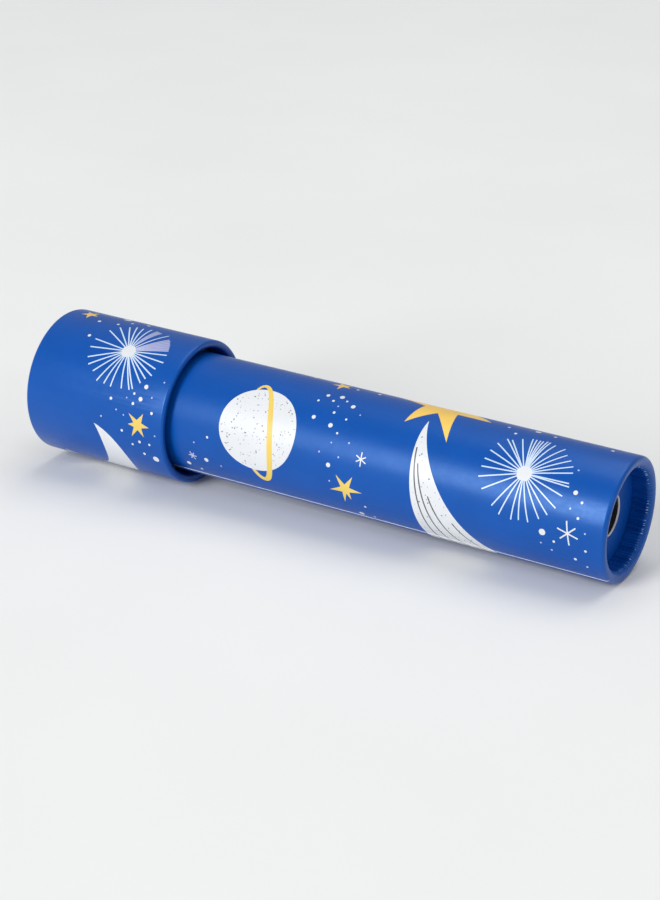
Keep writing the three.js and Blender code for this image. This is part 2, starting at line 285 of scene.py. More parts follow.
def stock_materials():
    """The plain stocks, by the record's material slot where they have one."""
    stocks = {
        "paper_core": dict(colour=(0.86, 0.86, 0.85), drift=0.92, rough=(0.8, 0.95), grain=5000, depth=0.02),
        "eyepiece_paper": dict(
            colour=(0.0004, 0.068, 0.365), drift=0.9, rough=(0.42, 0.52), grain=2600, depth=0.008, waves=0.06,
            IOR=1.45, Specular_IOR_Level=0.33, Specular_Tint=(0.36, 0.6, 1.0, 1),
        ),
        "greyboard": dict(colour=(0.34, 0.27, 0.19), drift=0.75, blotch=900, rough=(0.8, 0.95), depth=0.05),
        "white_board": dict(colour=(0.80, 0.78, 0.74), drift=0.93, blotch=300, rough=(0.75, 0.9), depth=0.03),
        "black_card": dict(
            colour=(0.012, 0.012, 0.014), drift=0.7, blotch=600, rough=(0.75, 0.9), depth=0.03,
        ),
        "foam": dict(
            colour=(0.05, 0.052, 0.058), drift=0.5, blotch=1500, rough=(0.85, 1.0), grain=1800, depth=0.25,
        ),
        "mirror": dict(colour=(0.86, 0.89, 0.90), drift=0.98, rough=(0.02, 0.04), Metallic=1.0),
        "clear_plastic": dict(
            colour=(0.97, 0.98, 0.99), drift=0.99, rough=(0.0, 0.004), IOR=1.49, Transmission_Weight=1.0,
        ),
        "frosted_plastic": dict(
            colour=(0.94, 0.95, 0.96), drift=0.98, rough=(0.34, 0.42), grain=3000, depth=0.02, IOR=1.35,
            Transmission_Weight=0.86,
        ),
    }
    for name, look in stocks.items():
        MATERIALS[name] = surface(name, **look)
    for slot in frame["record"]["materials"]:
        if slot["slot"] not in MATERIALS and slot["slot"] != "printed_paper":
            # light crosses a piece's two faces, and each face tints it
            tint = [c**0.6 for c in slot["base_color"][:3]]
            MATERIALS[slot["slot"]] = surface(
                slot["slot"], tint, drift=0.75, blotch=700, rough=(0.04, 0.12), IOR=1.45,
                Transmission_Weight=0.75,
            )


# ---------------------------------------------------------------- mesh helpers


def round_point(station, radius, clock):
    """A point in tube space. Its clock angle is in radians here."""
    return Vector((station, -radius * math.sin(clock), radius * math.cos(clock)))


def make(name, points, faces, body, materials, stands_for=(), face_slots=None, sharp=32, placed=None):
    """A piece from points in tube space, riding on a body and standing for the CAD nodes named."""
    mesh = bpy.data.meshes.new(f"{name}_visual")
    mesh.from_pydata(points, [], faces)
    if face_slots:
        mesh.polygons.foreach_set("material_index", face_slots)
    mesh.transform(TO_ROW @ (placed or Matrix.Identity(4)))
    shape = bmesh.new()
    shape.from_mesh(mesh)
    bmesh.ops.remove_doubles(shape, verts=shape.verts, dist=0.0005 * MM)
    bmesh.ops.recalc_face_normals(shape, faces=shape.faces)
    shape.to_mesh(mesh)
    shape.free()
    mesh.shade_smooth()
    mesh.set_sharp_from_angle(angle=math.radians(sharp))
    for material in materials:
        mesh.materials.append(material)
    obj = bpy.data.objects.new(mesh.name, mesh)
    bpy.context.scene.collection.objects.link(obj)
    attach(obj, body)
    if stands_for:
        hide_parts(*stands_for)
    return obj


def softened(profile, radii, steps=4):
    """The closed profile with each corner eased over that corner's reach; corners on the axis stay."""
    eased = []
    count = len(profile)
    for i, corner in enumerate(profile):
        here = Vector(corner)
        before = Vector(profile[i - 1]) - here
        after = Vector(profile[(i + 1) % count]) - here
        reach = min(radii[i], 0.45 * before.length, 0.45 * after.length)
        if corner[1] == 0 or reach == 0:
            eased.append(corner)
            continue
        first, last = here + before.normalized() * reach, here + after.normalized() * reach
        for k in range(steps + 1):
            t = k / steps
            eased.append(tuple(first * (1 - t) ** 2 + here * 2 * t * (1 - t) + last * t**2))
    return eased


def turned(profile, columns=TURNED_COLUMNS):
    """Points and faces of a closed profile of (station, radius) corners turned about the axis."""
    points, rows = [], []
    for station, radius in profile:
        first = len(points)
        if radius == 0:
            points.append(Vector((station, 0, 0)))
            rows.append([first] * columns)
        else:
            points += [round_point(station, radius, 2 * math.pi * i / columns) for i in range(columns)]
            rows.append(list(range(first, first + columns)))
    faces = []
    for a, b in zip(rows, rows[1:] + rows[:1]):
        for i in range(columns):
            j = (i + 1) % columns
            corners = list(dict.fromkeys((a[i], b[i], b[j], a[j])))
            if len(corners) > 2:
                faces.append(corners)
    return points, faces


# ---------------------------------------------------------------- the print, drawn flat
#
# A motif is a list of (ink, outline). Its points are (station, distance round from straight up) on the paper,
# both in millimetres, and a direction of 0 points towards the eyepiece and 90 downhill on the camera's side.


def on_paper(station, clock, radius):
    return Vector((station, math.radians(clock) * radius))


def heading(angle, length=1.0):
    return Vector((math.cos(math.radians(angle)), math.sin(math.radians(angle)))) * length


def circle(centre, radius, points):
    steps = [2 * math.pi * i / points for i in range(points)]
    return [centre + Vector((radius * math.cos(a), radius * math.sin(a))) for a in steps]


def dot(centre, radius, ink="white"):
    return [(ink, circle(centre, radius, 10 + int(10 * radius)))]


def star(centre, tips, waist, ink="yellow"):
    """A hand-cut star. tips are (direction, length) pairs in turn, and its inner corners lie waist away."""
    outline = []
    for i, (angle, length) in enumerate(tips):
        following = tips[(i + 1) % len(tips)][0] + (360 if i + 1 == len(tips) else 0)
        outline.append(centre + heading(angle, length))
        outline.append(centre + heading((angle + following) / 2, waist))
    return [(ink, outline)]


def bar(start, end, width, ink="white"):
    """A stroke from start to end."""
    across = (end - start).normalized().orthogonal() * width / 2
    return [(ink, [start - across, end - across, end + across, start + across])]


def asterisk(centre, reach, width, angles=(80, 20, -42), ink="white"):
    """Three crossed strokes, each a little shorter than the one before."""
    marks = []
    for i, angle in enumerate(angles):
        far = heading(angle, reach * (1 - 0.09 * i))
        marks += bar(centre - far, centre + far, width, ink)
    return marks


def burst(centre, reach, core, directions, rng, wedges=(), width=0.42):
    """A firework: a ragged core, a ray in each direction, and wedges in which close rays run together."""
    marks = []
    for first, last in wedges:
        edge = [heading(first + (last - first) * k / 6, reach * 0.98) for k in range(7)]
        marks.append(("haze", [centre] + [centre + point for point in edge]))
        count = max(2, round((last - first) / 4.5))
        for k in range(count + 1):
            far = centre + heading(first + (last - first) * k / count, reach * rng.uniform(0.96, 1.0))
            marks += bar(centre + heading(first, core * 0.3), far, width * 0.6, "pale")
    for direction in directions:
        far = reach * rng.uniform(0.96, 1.04)
        marks += bar(centre + heading(direction, core * 0.4), centre + heading(direction, far), width, "ray")
    blob = [centre + heading(a, core * rng.uniform(0.94, 1.06)) for a in range(0, 360, 12)]
    return marks + [("white", blob)]


def spread(count, rng):
    """Evenly spaced directions, each a little off."""
    return [(k + rng.uniform(-0.24, 0.24)) * 360 / count for k in range(count)]


def inside(point, outline):
    """Whether a point lies inside an outline."""
    within = False
    for a, b in zip(outline, outline[1:] + outline[:1]):
        if (a.y > point.y) != (b.y > point.y):
            if point.x < (b.x - a.x) * (point.y - a.y) / (b.y - a.y) + a.x:
                within = not within
    return within


def speckled(outline, per_area, rng):
    """Small ragged specks inside an outline, tried at per_area places in each 100 mm2 of its box."""
    low = Vector((min(p.x for p in outline), min(p.y for p in outline)))
    high = Vector((max(p.x for p in outline), max(p.y for p in outline)))
    marks = []
    for _ in range(int(per_area * (high.x - low.x) * (high.y - low.y) / 100)):
        centre = Vector((rng.uniform(low.x, high.x), rng.uniform(low.y, high.y)))
        size = rng.choice((0.1, 0.13, 0.16, 0.21, 0.28))
        shape = [centre + heading(60 * k, size * rng.uniform(0.6, 1.3)) for k in range(6)]
        if all(inside(centre + heading(90 * k, 0.7), outline) for k in range(4)):
            marks.append(("speck", shape))
    return marks


# The ring round a planet of radius 1: half its length and its breadth, and how far off the middle it lies
RING_LENGTH, RING_BREADTH = 1.18, 0.345
RING_OFFSET = Vector((0.0, 0.07))


def ringed_planet(centre, radius, rng, lean=78.4, mirrored=1):
    """A white disc with a thin ring seen almost edge on: half of it crosses the disc, and half is behind."""
    ring_centre = centre + RING_OFFSET * radius
    long, short = radius * RING_LENGTH, radius * RING_BREADTH
    turned_by = Matrix.Rotation(math.radians(lean), 2)

    def band(first, last, count):
        """A stretch of the ring, wider where it is nearer."""
        outer, inner = [], []
        for k in range(count + 1):
            a = math.radians(first + (last - first) * k / count)
            half = 0.72 + 0.3 * math.sin(a) + 0.15 * math.cos(a)
            spot = Vector((long * math.cos(a), short * math.sin(a)))
            out = Vector((math.cos(a) / long, math.sin(a) / short)).normalized()
            for side, edge in ((half, outer), (-half, inner)):
                flat = spot + out * side
                flat = turned_by @ Vector((flat.x, -flat.y))
                edge.append(ring_centre + Vector((flat.x * mirrored, flat.y)))
        return outer + inner[::-1]

    disc = circle(centre, radius, 72)
    marks = [("yellow", band(150, 390, 36)), ("white", disc)]
    marks += speckled(disc, 30, rng)
    return marks + [("yellow", band(-2, 182, 44))]


# A crescent of radius 1: its horns point up and to the left, and each leg of its outline is a cubic curve
CRESCENT_START = (0.27, -0.98)
CRESCENT_LEGS = (
    ((0.71, -0.84), (1.0, -0.44), (1.0, 0.02)),
    ((1.0, 0.54), (0.55, 0.99), (0.0, 0.99)),
    ((-0.54, 0.99), (-1.03, 0.72), (-0.87, 0.2)),
    ((-0.73, 0.49), (-0.51, 0.57), (-0.33, 0.57)),
    ((0.1, 0.57), (0.43, 0.11), (0.43, -0.38)),
    ((0.43, -0.62), (0.37, -0.83), CRESCENT_START),
)


def bezier(points, t):
    a, b, c, d = (Vector(p) for p in points)
    return a * (1 - t) ** 3 + b * 3 * t * (1 - t) ** 2 + c * 3 * t**2 * (1 - t) + d * t**3


def crescent(centre, radius, mirrored=1):
    outline, start = [], CRESCENT_START
    for leg in CRESCENT_LEGS:
        outline += [bezier((start, *leg), k / 12) for k in range(12)]
        start = leg[-1]
    return [("white", [centre + Vector((p.x * mirrored, p.y)) * radius for p in outline])]


def comet_tail(tip, near, far, rng):
    """A swept white tail from tip, between two curves given from the tip, with fine stripes and specks."""
    # the tail stops short of the curves' ends, where it bulges
    steps, reach = 26, 0.86
    edges = [[tip + Vector(p) for p in [(0, 0), *edge]] for edge in (near, far)]
    left = [bezier(edges[0], reach * k / steps) for k in range(steps + 1)]
    right = [bezier(edges[1], reach * k / steps) for k in range(1, steps + 1)]
    bulge = (left[-1] + right[-1]) / 2 + Vector((2, 5))
    end = [left[-1] * (1 - t) ** 2 + bulge * 2 * t * (1 - t) + right[-1] * t**2 for t in (0.25, 0.5, 0.75)]
    outline = left + end + right[::-1]
    marks = [("white", outline)] + speckled(outline, 22, rng)
    for share, first in ((0.19, 0.24), (0.36, 0.34), (0.55, 0.52), (0.82, 0.66)):
        count = 22
        line = []
        for k in range(count + 1):
            t = first + (reach - first) * k / count
            line.append(bezier(edges[0], t).lerp(bezier(edges[1], t), share))
        for a, b in zip(line, line[1:]):
            marks += bar(a - (b - a) * 0.04, b, 0.48, "stripe")
    return marks


def dust(radius, stations, clocks, count, rng):
    """Scattered fine dots in the faint and the pale ink."""
    marks = []
    for _ in range(count):
        spot = on_paper(rng.uniform(*stations), rng.uniform(*clocks), radius)
        marks += dot(spot, rng.choice((0.18, 0.22, 0.28)), rng.choice(("faint", "faint", "pale")))
    return marks


def scattered(marks, count, spot, rng):
    """Random white dots at places that spot gives, clear of every motif so far."""
    clear = 1.2
    boxes = []
    for ink, outline in marks:
        if ink not in ("faint", "pale", "haze"):
            across, down = [p.x for p in outline], [p.y for p in outline]
            boxes.append((min(across) - clear, max(across) + clear, min(down) - clear, max(down) + clear))
    found = []
    for _ in range(count):
        p, size = spot(), rng.choice((0.4, 0.5, 0.5, 0.6, 0.8, 1.0))
        if not any(a < p.x < b and c < p.y < d for a, b, c, d in boxes):
            found += dot(p, size)
    return found


# The radius of a placed dot, as a share of the size listed for it
DOT_TRIM = 0.87


def dots(at, spots, ink="white"):
    """A dot for each (station, clock, size)."""
    marks = []
    for station, clock, size in spots:
        marks += dot(at(station, clock), size * DOT_TRIM, ink)
    return marks


def tube_print():
    rng = random.Random(41)

    def at(station, clock):
        return on_paper(station, clock, TUBE_RADIUS)

    marks = dust(TUBE_RADIUS, (60, 211), (152, 335), 90, rng)

    # the side that faces the camera
    marks += ringed_planet(at(90.4, 67), 14.45, rng)
    rays = (-1, 3, 16, 32, 45, 57, 72, 84, 94, 110, 123, 147, 163, 176, 187, 200, 213, 226, 231, 244)
    rays += (257, 262, 267, 271, 276, 280, 289, 303, 315, 326, 336, 345)
    marks += burst(at(185.1, 46.5), 14.9, 2.5, rays, rng)
    near, far = [(-1.3, 14), (2.6, 32), (8.6, 60)], [(4.1, 14), (16, 32), (39, 54)]
    marks += comet_tail(at(146.9, 16.8), near, far, rng)
    comet = [(15.7, 18.5), (65.3, 22), (116, 17.8), (183, 18.6), (240, 17.5), (304, 17.5)]
    marks += star(at(147.2, -19.9), comet, 7.6, "gold")
    tips = [(0, 6.2), (65, 4.3), (99, 5.9), (165, 6.0), (233, 5.7), (298, 5.8)]
    marks += star(at(124.9, 102.4), tips, 1.75)
    marks += star(at(109.8, -10), [(20, 3.6), (90, 4.2), (160, 3.6), (232, 3.6), (306, 3.6)], 1.4, "gold")
    marks += asterisk(at(203.2, 88.4), 4.0, 0.46, (79, 15.5, -43))
    marks += asterisk(at(129.9, 70.1), 2.35, 0.38, (88, 28, -32))
    marks += asterisk(at(65.4, 110.6), 1.75, 0.45, (60, 0, -62), "pale")
    bright = (
        (109.4, 15.4, 0.75), (114.3, 13.3, 0.95), (116.9, 17.3, 0.45), (112.4, 20.8, 0.55),
        (107.5, 24.6, 0.5), (120.1, 22.2, 0.9), (115.1, 33.6, 0.55), (120.3, 37.6, 0.45),
        (109.0, 42.8, 0.8), (115.9, 46.8, 0.9), (119.2, 52.4, 0.45), (118.5, 82.5, 0.9),
        (72.0, 86.1, 0.5), (70.8, 111.8, 0.95), (62.6, 123.7, 1.0), (67.0, 129.1, 0.6),
        (131.4, 118.6, 0.5), (128.6, 133.0, 1.1), (133.4, 133.3, 0.5), (115.7, -8.5, 0.6),
        (123.4, -11.0, 0.7), (97.7, -18.0, 0.7), (175.3, 4.5, 0.6), (171.4, -5.0, 0.5),
        (180.5, -12.0, 1.1), (186.9, -8.5, 0.6), (206.4, -8.5, 0.7), (203.1, 52.1, 0.85),
        (206.0, 59.2, 0.5), (205.9, 73.0, 0.5), (194.8, 93.1, 1.25), (198.8, 99.6, 0.5),
        (209.4, 101.2, 0.5), (205.8, 113.2, 0.6), (209.5, 119.9, 0.4),
    )
    dim = (
        (115.2, 25.9, 0.35), (124.1, 29.7, 0.3), (124.4, 58.5, 0.35), (118.2, 61.9, 0.3),
        (114.6, 72.5, 0.35), (121.8, 73.2, 0.35), (119.1, 97.8, 0.35), (66.7, 94.7, 0.35),
        (76.4, 115.1, 0.4), (201.2, 31.3, 0.35), (202.8, 66.4, 0.35), (208.9, 84.7, 0.35),
        (194.4, 104.3, 0.35), (198.0, 109.4, 0.4),
    )
    marks += dots(at, bright) + dots(at, dim, "pale")

    # the far side and the underside, in the same manner
    marks += burst(at(88, 214), 14.0, 2.5, spread(28, rng), rng, wedges=((60, 84),))
    marks += burst(at(201, 262), 10.5, 2.0, spread(22, rng), rng)
    marks += ringed_planet(at(176, 222), 12.5, rng, lean=68, mirrored=-1)
    marks += crescent(at(118, 270), 13.0, mirrored=-1)
    marks += star(at(140, 286), [(8, 7), (70, 6.4), (132, 7), (196, 6.4), (258, 7.2), (318, 6.6)], 2.3)
    marks += star(at(72, 262), [(0, 5), (66, 4.6), (140, 5), (212, 4.6), (286, 5)], 1.8)
    marks += star(at(150, 236), [(30, 3.6), (100, 3.4), (170, 3.7), (244, 3.5), (316, 3.6)], 1.3)
    marks += asterisk(at(104, 300), 3.6, 0.55)
    marks += asterisk(at(160, 262), 3.0, 0.5, (70, 12, -50))
    marks += asterisk(at(66, 178), 3.2, 0.55, (84, 22, -36))
    return marks + scattered(marks, 130, lambda: at(rng.uniform(61, 210), rng.uniform(158, 330)), rng)


def cap_print():
    rng = random.Random(77)

    def at(station, clock):
        return on_paper(station, clock, CAP_RADIUS)

    marks = dust(CAP_RADIUS, (4, 53), (160, 335), 50, rng)

    # the side that faces the camera
    rays = (5, 18, 28, 37, 46, 59, 64, 76, 94, 106, 118, 133, 146, 157, 173, 187, 210, 225, 238, 248)
    rays += (258, 270, 303, 352)
    marks += burst(at(35, 30.2), 14.6, 2.6, rays, rng, wedges=((280, 290), (315, 344)), width=0.48)
    marks += crescent(at(24.4, 131), 16.4)
    marks += star(at(47, 86.5), [(1, 4.6), (57, 4.7), (118, 5.3), (174, 4.0), (221, 5.2), (294, 4.7)], 1.75)
    marks += star(at(8.4, -5.6), [(10, 3.4), (80, 3.9), (152, 3.4), (224, 3.4), (300, 3.4)], 1.4, "gold")
    bright = (
        (21.3, -15.6, 1.6), (15.0, 3.7, 0.7), (16.9, 24.2, 0.7), (22.2, 1.5, 0.6), (31.0, -12.0, 0.8),
        (25.6, -7.0, 0.6), (47.8, 55.8, 0.9), (44.0, 63.0, 0.5), (46.9, 66.0, 0.9), (35.3, 70.9, 0.6),
        (44.3, 70.7, 0.6), (52.2, 74.6, 0.6), (40.5, 94.4, 0.55), (47.5, 100.7, 0.6),
        (51.5, 101.1, 0.5), (44.4, 104.7, 0.5), (48.6, 111.6, 0.6), (53.0, 114.4, 1.35),
    )
    dim = (
        (51.1, 62.9, 0.35), (41.4, 67.4, 0.3), (38.0, 78.5, 0.35), (32.0, 86.8, 0.4),
        (41.1, 81.3, 0.3), (53.9, 49.1, 0.35), (54.0, 92.0, 0.35),
    )
    marks += dots(at, bright) + dots(at, dim, "pale")

    # the far side and the underside, in the same manner
    marks += ringed_planet(at(38, 214), 10.5, rng, lean=72)
    marks += burst(at(19, 262), 12.0, 2.3, spread(24, rng), rng, wedges=((70, 92),), width=0.46)
    marks += star(at(44, 268), [(4, 7), (66, 6.2), (128, 7), (190, 6.4), (252, 7), (314, 6.2)], 2.3)
    marks += star(at(14, 214), [(0, 4.4), (72, 4.0), (144, 4.4), (216, 4.0), (288, 4.4)], 1.6)
    marks += crescent(at(42, 318), 8.5, mirrored=-1)
    marks += asterisk(at(12, 316), 3.4, 0.55)
    return marks + scattered(marks, 70, lambda: at(rng.uniform(5, 53), rng.uniform(168, 336)), rng)


# ---------------------------------------------------------------- the printed papers

# How far the lap stands up, how wide it is and over how much of that it falls away
LAP = 0.12
LAP_WIDTH = 6.0
LAP_RISE = 1.4
# How deep the deepest pleats are, and about how many go round
PLEAT = 0.6
PLEATS = 124
WORN_AND_PAINTED_GLINT = -1  # faces where the tops of the pleats get pale ink: partly worn ink, partly a painted glint


def wound(art, radius, start, end, seam):
    """Cuts the flat paper between two stations, once round from the seam, into triangles that follow its
    columns and every printed outline. Gives the flat points, with distance round counted from the seam, the
    triangles, and the topmost ink of each."""
    girth = 2 * math.pi * radius
    offset = girth - math.radians(seam) * radius
    corners, edges, outlines, inks = [], [], [], []
    for i in range(COLUMNS + 1):
        corners += [(start, girth * i / COLUMNS), (end, girth * i / COLUMNS)]
        edges.append((2 * i, 2 * i + 1))
    for row in (0, 1):
        edges += [(2 * i + row, 2 * i + 2 + row) for i in range(COLUMNS)]
    for ink, outline in art:
        low, high = min(p.y for p in outline) + offset, max(p.y for p in outline) + offset
        for turn_back in (-girth, 0, girth):
            if high + turn_back > 0 and low + turn_back < girth:
                first = len(corners)
                corners += [(p.x, p.y + offset + turn_back) for p in outline]
                outlines.append(list(range(first, len(corners))))
                inks.append(INK_ORDER.index(ink))
    for outline in outlines:
        area = sum(
            corners[a][0] * corners[b][1] - corners[b][0] * corners[a][1]
            for a, b in zip(outline, outline[1:] + outline[:1])
        )
        if area < 0:
            outline.reverse()
    flat, _, triangles, _, _, sources = geometry.delaunay_2d_cdt(
        [Vector(c) for c in corners], edges, outlines, 0, 1e-5
    )
    kept, kept_inks = [], []
    for triangle, source in zip(triangles, sources):
        middle = sum((flat[i] for i in triangle), Vector((0, 0))) / 3
        if 0 < middle.y < girth and start < middle.x < end:
            kept.append(list(triangle))
            kept_inks.append(inks[max(source)] if source else 0)
    return flat, kept, kept_inks


def pleat_pattern(rng):
    """How far the turned-in paper stands up at each column, from 0 to 1, in uneven pleats."""
    heights = [0.0] * (COLUMNS + 1)
    at = 0.0
    while at < COLUMNS:
        gap = COLUMNS / PLEATS * rng.uniform(0.6, 1.5)
        tall = rng.uniform(0.45, 1.0)
        for i in range(int(at), min(COLUMNS, int(at + gap)) + 1):
            share = (i - at) / gap
            if 0 <= share <= 1:
                heights[i] = max(heights[i], tall * math.sin(math.pi * share**0.6) ** 1.5)
        at += gap
    heights[-1] = heights[0]
    return heights


def lip_rows(edge, facing, outer, inner, lip, bend, depth, to, pleated):
    """Rows of (station, radius, lap, pleat) from an outside face, round a lip and a softer bend inside it,
    and back along the inside."""
    rows = []
    for k in range(LIP_STEPS + 1):
        a = math.pi / 2 * k / LIP_STEPS
        r = lip - depth
        away = outer - lip + r * math.cos(a)
        rows.append((edge - facing * (lip - r * math.sin(a)), away, 1 - k / LIP_STEPS, 0))
    for k in range(LIP_STEPS + 1):
        a = math.pi / 2 * k / LIP_STEPS
        r = bend - depth
        away = inner + bend - r * math.sin(a)
        rows.append((edge - facing * (bend - r * math.cos(a)), away, 0, pleated * (k / LIP_STEPS) ** 1.3))
    turned_at = edge - facing * bend
    for k in (1, 2, 3, 4):
        rows.append((turned_at + (to - turned_at) * k / 4, inner + depth, 0, pleated * (1 - 0.12 * k)))
    return rows


def paper_sleeve(node_name, body, art, radius, start, end, seam, before, after, back, seed):
    """The printed paper as one closed sheet: flat print, lips, turned-in ends, white back and lapped seam."""
    rng = random.Random(seed)
    girth = 2 * math.pi * radius
    seam_angle = math.radians(seam) - 2 * math.pi
    pleats = pleat_pattern(rng)

    def lap_at(distance):
        return max(0.0, min(1.0, (LAP_WIDTH - distance) / LAP_RISE)) ** 2 * LAP

    flat, triangles, inks = wound(art, radius, start, end, seam)
    points = [
        round_point(p.x, radius + lap_at(min(p.y, girth)), seam_angle + p.y / radius) for p in flat
    ]
    faces, slots = list(triangles), list(inks)
    used = {i for triangle in triangles for i in triangle}
    by_edge = {
        station: sorted((i for i in used if abs(flat[i].x - station) < 1e-4), key=lambda i: flat[i].y)
        for station in (start, end)
    }
    core = len(INK_ORDER)

    def add_row(station, r, lap, pleat):
        first = len(points)
        for i in range(COLUMNS + 1):
            away = r + lap * lap_at(girth * i / COLUMNS) - pleat * PLEAT * pleats[i]
            points.append(round_point(station, away, seam_angle + 2 * math.pi * i / COLUMNS))
        return list(range(first, first + COLUMNS + 1))

    def join(a, b, slot):
        for i in range(COLUMNS):
            faces.append([a[i], a[i + 1], b[i + 1], b[i]])
            # pale ink on the tallest pleats: partly worn ink, partly a painted glint where the folds would catch
            # the light
            painted_glint_and_wear = slot == WORN_AND_PAINTED_GLINT and pleats[i] > 0.75 and rng.random() < 0.5
            slots.append(INK_ORDER.index("pale") if painted_glint_and_wear else max(slot, 0))

    chain = [(add_row(*row), 0) for row in before[::-1]]
    chain.append((by_edge[start], 0))
    chain.append((by_edge[end], None))
    for row in after:
        # only the eyepiece's pleats are this deep, and where the paper bends into the recess their tops get pale
        # ink, partly worn ink and partly a painted glint
        bent_in = row[3] > 0.7 and row[1] > RECESS_RADIUS + 0.02
        chain.append((add_row(*row), WORN_AND_PAINTED_GLINT if bent_in else 0))
    chain += [(add_row(*row), core) for row in back]
    chain.append((chain[0][0], core))
    for (a, _), (b, slot) in zip(chain, chain[1:]):
        if slot is not None:
            join(a, b, slot)

    # the lap's cut edge, which shows the paper's white core
    low = sorted((i for i in used if flat[i].y < 1e-4), key=lambda i: flat[i].x)
    high = sorted((i for i in used if flat[i].y > girth - 1e-4), key=lambda i: flat[i].x)
    rows = [row for row, _ in chain]
    ends = rows[: len(before)], rows[len(before) + 2 :][: len(after)]
    low = [row[0] for row in ends[0]] + low + [row[0] for row in ends[1]]
    high = [row[-1] for row in ends[0]] + high + [row[-1] for row in ends[1]]
    for a, b, c, d in zip(low, low[1:], high[1:], high):
        faces.append([a, b, c, d])
        slots.append(core)
    kept = sorted({i for face in faces for i in face})
    index = {old: new for new, old in enumerate(kept)}
    return make(
        node_name,
        [points[i] for i in kept],
        [[index[i] for i in face] for face in faces],
        body,
        [*ink_set, MATERIALS["paper_core"]],
        (node_name,),
        slots,
        sharp=40,
    )


def printed_papers():
    eye = dict(edge=LENGTH, facing=1, outer=TUBE_RADIUS, inner=RECESS_RADIUS, lip=EYE_LIP, bend=EYE_BEND)
    turned_to = span("eyepiece_facing")[1] + GLUE
    front = lip_rows(**eye, depth=0, to=turned_to, pleated=1)[1:]
    behind = lip_rows(**eye, depth=PAPER, to=turned_to, pleated=1)[::-1]
    behind.append((WRAP_START, TUBE_RADIUS - PAPER, 0, 0))
    paper_sleeve(
        "tube_wrap", "tube", tube_print(), TUBE_RADIUS, WRAP_START, LENGTH - EYE_LIP, TUBE_SEAM,
        before=[], after=front, back=behind, seed=5,
    )
    mouth = dict(
        edge=CAP_LENGTH, facing=1, outer=CAP_RADIUS, inner=MOUTH_RADIUS, lip=MOUTH_LIP, bend=MOUTH_BEND
    )
    end = dict(edge=0, facing=-1, outer=CAP_RADIUS, inner=CAP_OPENING, lip=END_LIP, bend=END_BEND)
    mouth_to, end_to = CAP_LENGTH - TURNED_IN, span("diffuser")[0] - GLUE
    behind = lip_rows(**mouth, depth=PAPER, to=mouth_to, pleated=0.5)[::-1]
    behind += lip_rows(**end, depth=PAPER, to=end_to, pleated=0.8)
    paper_sleeve(
        "cap_wrap", "cap", cap_print(), CAP_RADIUS, END_LIP, CAP_LENGTH - MOUTH_LIP, CAP_SEAM,
        before=lip_rows(**end, depth=0, to=end_to, pleated=0.8)[1:],
        after=lip_rows(**mouth, depth=0, to=mouth_to, pleated=0.5)[1:],
        back=behind, seed=9,
    )


# ---------------------------------------------------------------- boards, windows and mirrors


def round_piece(node_name, body, slot, ease=0.12, outer_ease=None, cuts=(0, 0)):
    """A smooth disc or ring in place of a faceted CAD one. outer_ease rounds the outer edges, and cuts slopes
    the inner edges at the near and far ends. Ease 0 keeps a window's faces optically flat."""
    first, last, inner, outer = span(node_name)
    if inner < 0.01:
        profile = [(first, 0), (first, outer), (last, outer), (last, 0)]
    else:
        near, far = (max(cut, 0.02) for cut in cuts)
        profile = [(first + near, inner), (first, inner + near), (first, outer), (last, outer)]
        profile += [(last, inner + far), (last - far, inner)]
    outer_ease = outer_ease or ease
    radii = [outer_ease if radius == outer else ease for _, radius in profile]
    points, faces = turned(softened(profile, radii))
    return make(node_name, points, faces, body, [MATERIALS[slot]], (node_name,))


def eyepiece_facing():
    """The blue printed card round the peep hole: its punched edge shows the white card."""
    first, last, hole, outer = span("eyepiece_facing")
    burr = 0.1
    profile = [(first, hole), (first, outer), (last, outer)]
    profile += [(last, hole + 2 * burr), (last - burr, hole + burr / 2)]
    points, faces = turned(profile)
    printed = 2  # the profile's side that faces the eye
    slots = []
    for side in range(len(profile)):
        slots += [0 if side == printed else 1] * TURNED_COLUMNS
    return make(
        "eyepiece_facing", points, faces, "tube",
        [MATERIALS["eyepiece_paper"], MATERIALS["paper_core"]], ("eyepiece_facing",), slots,
    )


def front_mask():
    """A black card disc with a triangular window, whose corners lie a little inside the CAD one's."""
    first, last = span("front_mask")[:2]
    outer = span("front_window")[3]
    reach = min(along_axis("front_mask")[1]) - 0.3
    columns = 120
    ring, hole = [], []
    for i in range(columns):
        a = 2 * math.pi * i / columns
        beside = (a + math.pi / 3) % (2 * math.pi / 3) - math.pi / 3
        ring.append((outer, a))
        hole.append((reach / 2 / math.cos(math.pi / 3 - abs(beside)), a))
    points, rows = [], []
    for station, loop in ((first, hole), (first, ring), (last, ring), (last, hole)):
        rows.append(range(len(points), len(points) + columns))
        points += [round_point(station, r, a) for r, a in loop]
    faces = [
        [a[i], b[i], b[(i + 1) % columns], a[(i + 1) % columns]]
        for a, b in zip(rows, rows[1:] + rows[:1])
        for i in range(columns)
    ]
    look = [MATERIALS["black_card"]]
    return make("front_mask", points, faces, "tube", look, ("front_mask",))


